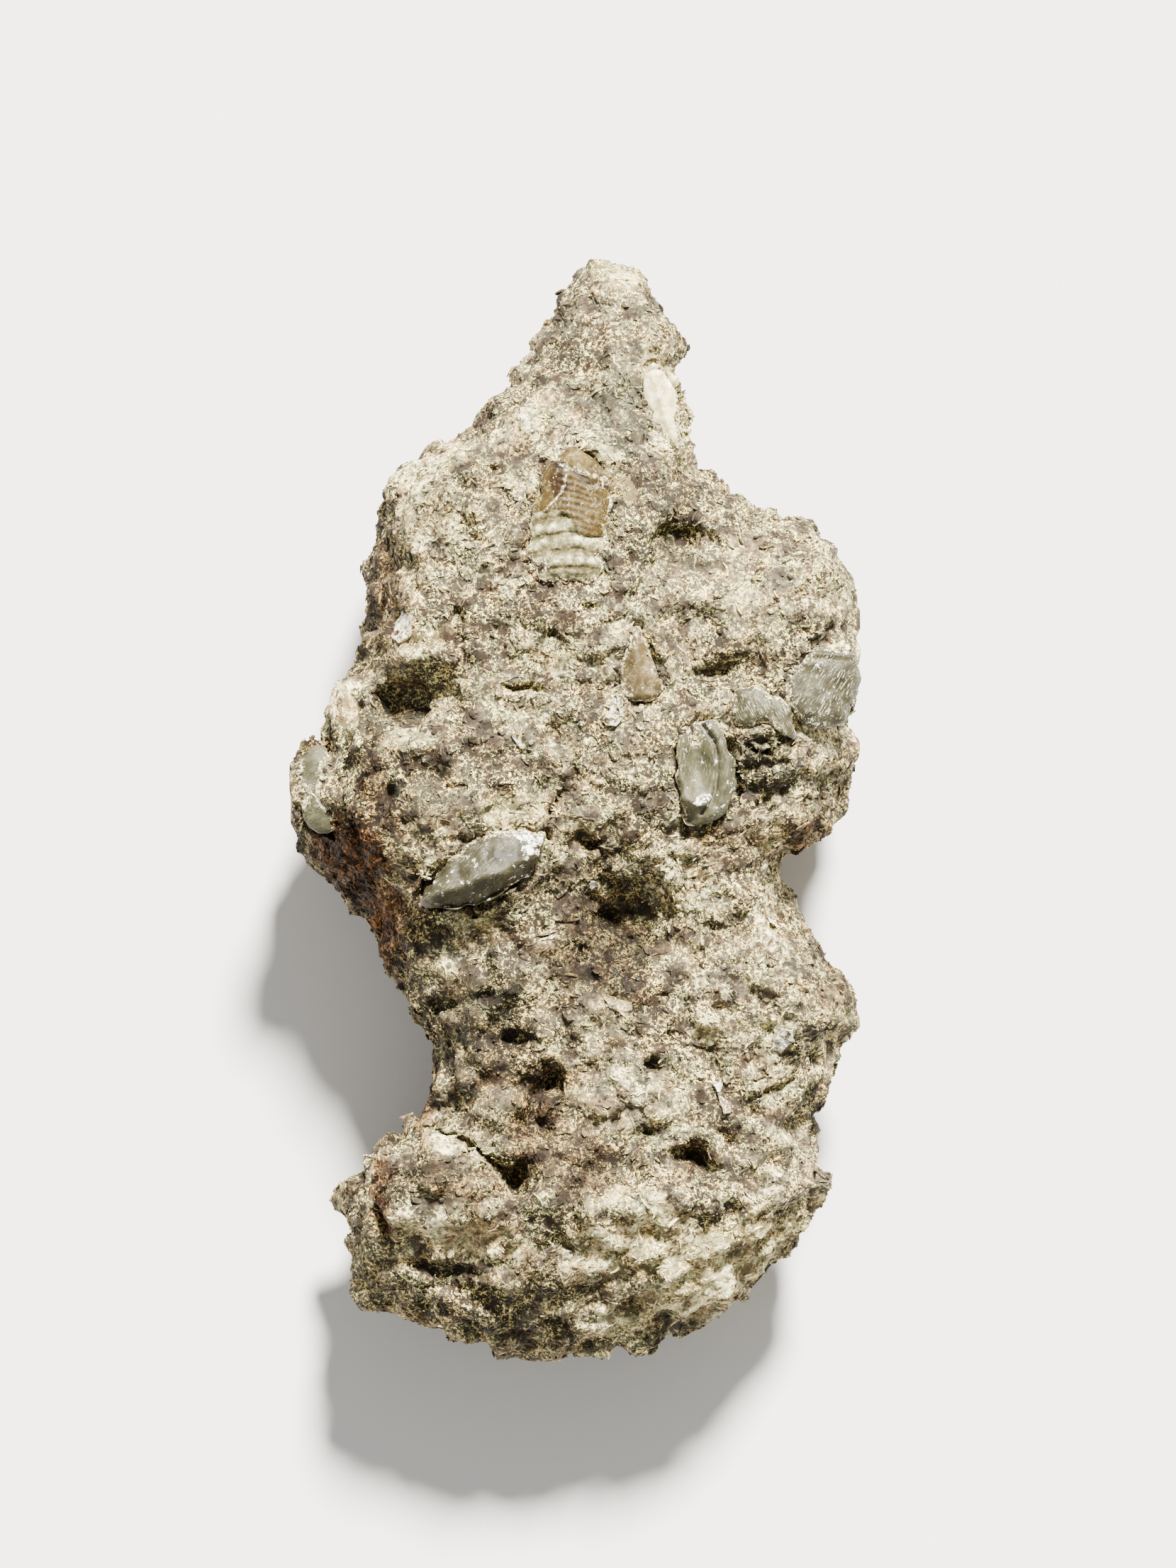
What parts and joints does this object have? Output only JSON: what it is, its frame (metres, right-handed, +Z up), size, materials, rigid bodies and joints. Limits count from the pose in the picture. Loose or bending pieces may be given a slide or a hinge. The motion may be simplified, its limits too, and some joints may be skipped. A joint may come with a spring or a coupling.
{
  "type": "trilobite fossil",
  "caption": "Hand-size lump of fossil-hash limestone that lies on its back and shows a ribbed trilobite fragment among small brachiopod shells.",
  "frame": {"origin": "under the middle of the lump's outline, on the plane that it rests on", "axes": "+X across the lump, +Y along it towards its narrow peak, +Z up out of the fossil face"},
  "size_m": [0.0404, 0.0782, 0.0236],
  "materials": {
    "limestone": "rough granular stone full of shell grains",
    "trilobite_cuticle": "brown fossil cuticle over worn cream segments, faint gloss",
    "grey_shell": "smooth grey shell with a waxy gloss",
    "yellow_shell": "yellowish shell with a dull gloss",
    "brown_shell": "thin brown shell fragment, dull gloss"
  },
  "bodies": {
    "root": {"matrix": "limestone", "trilobite": "trilobite_cuticle", "brachiopod_keeled": "grey_shell", "brachiopod_curled": "grey_shell", "brachiopod_cracked": "grey_shell", "brachiopod_edge": "grey_shell", "brachiopod_ledge": "grey_shell", "shell_yellow": "yellow_shell", "shell_brown": "brown_shell"}
  },
  "joints": []
}
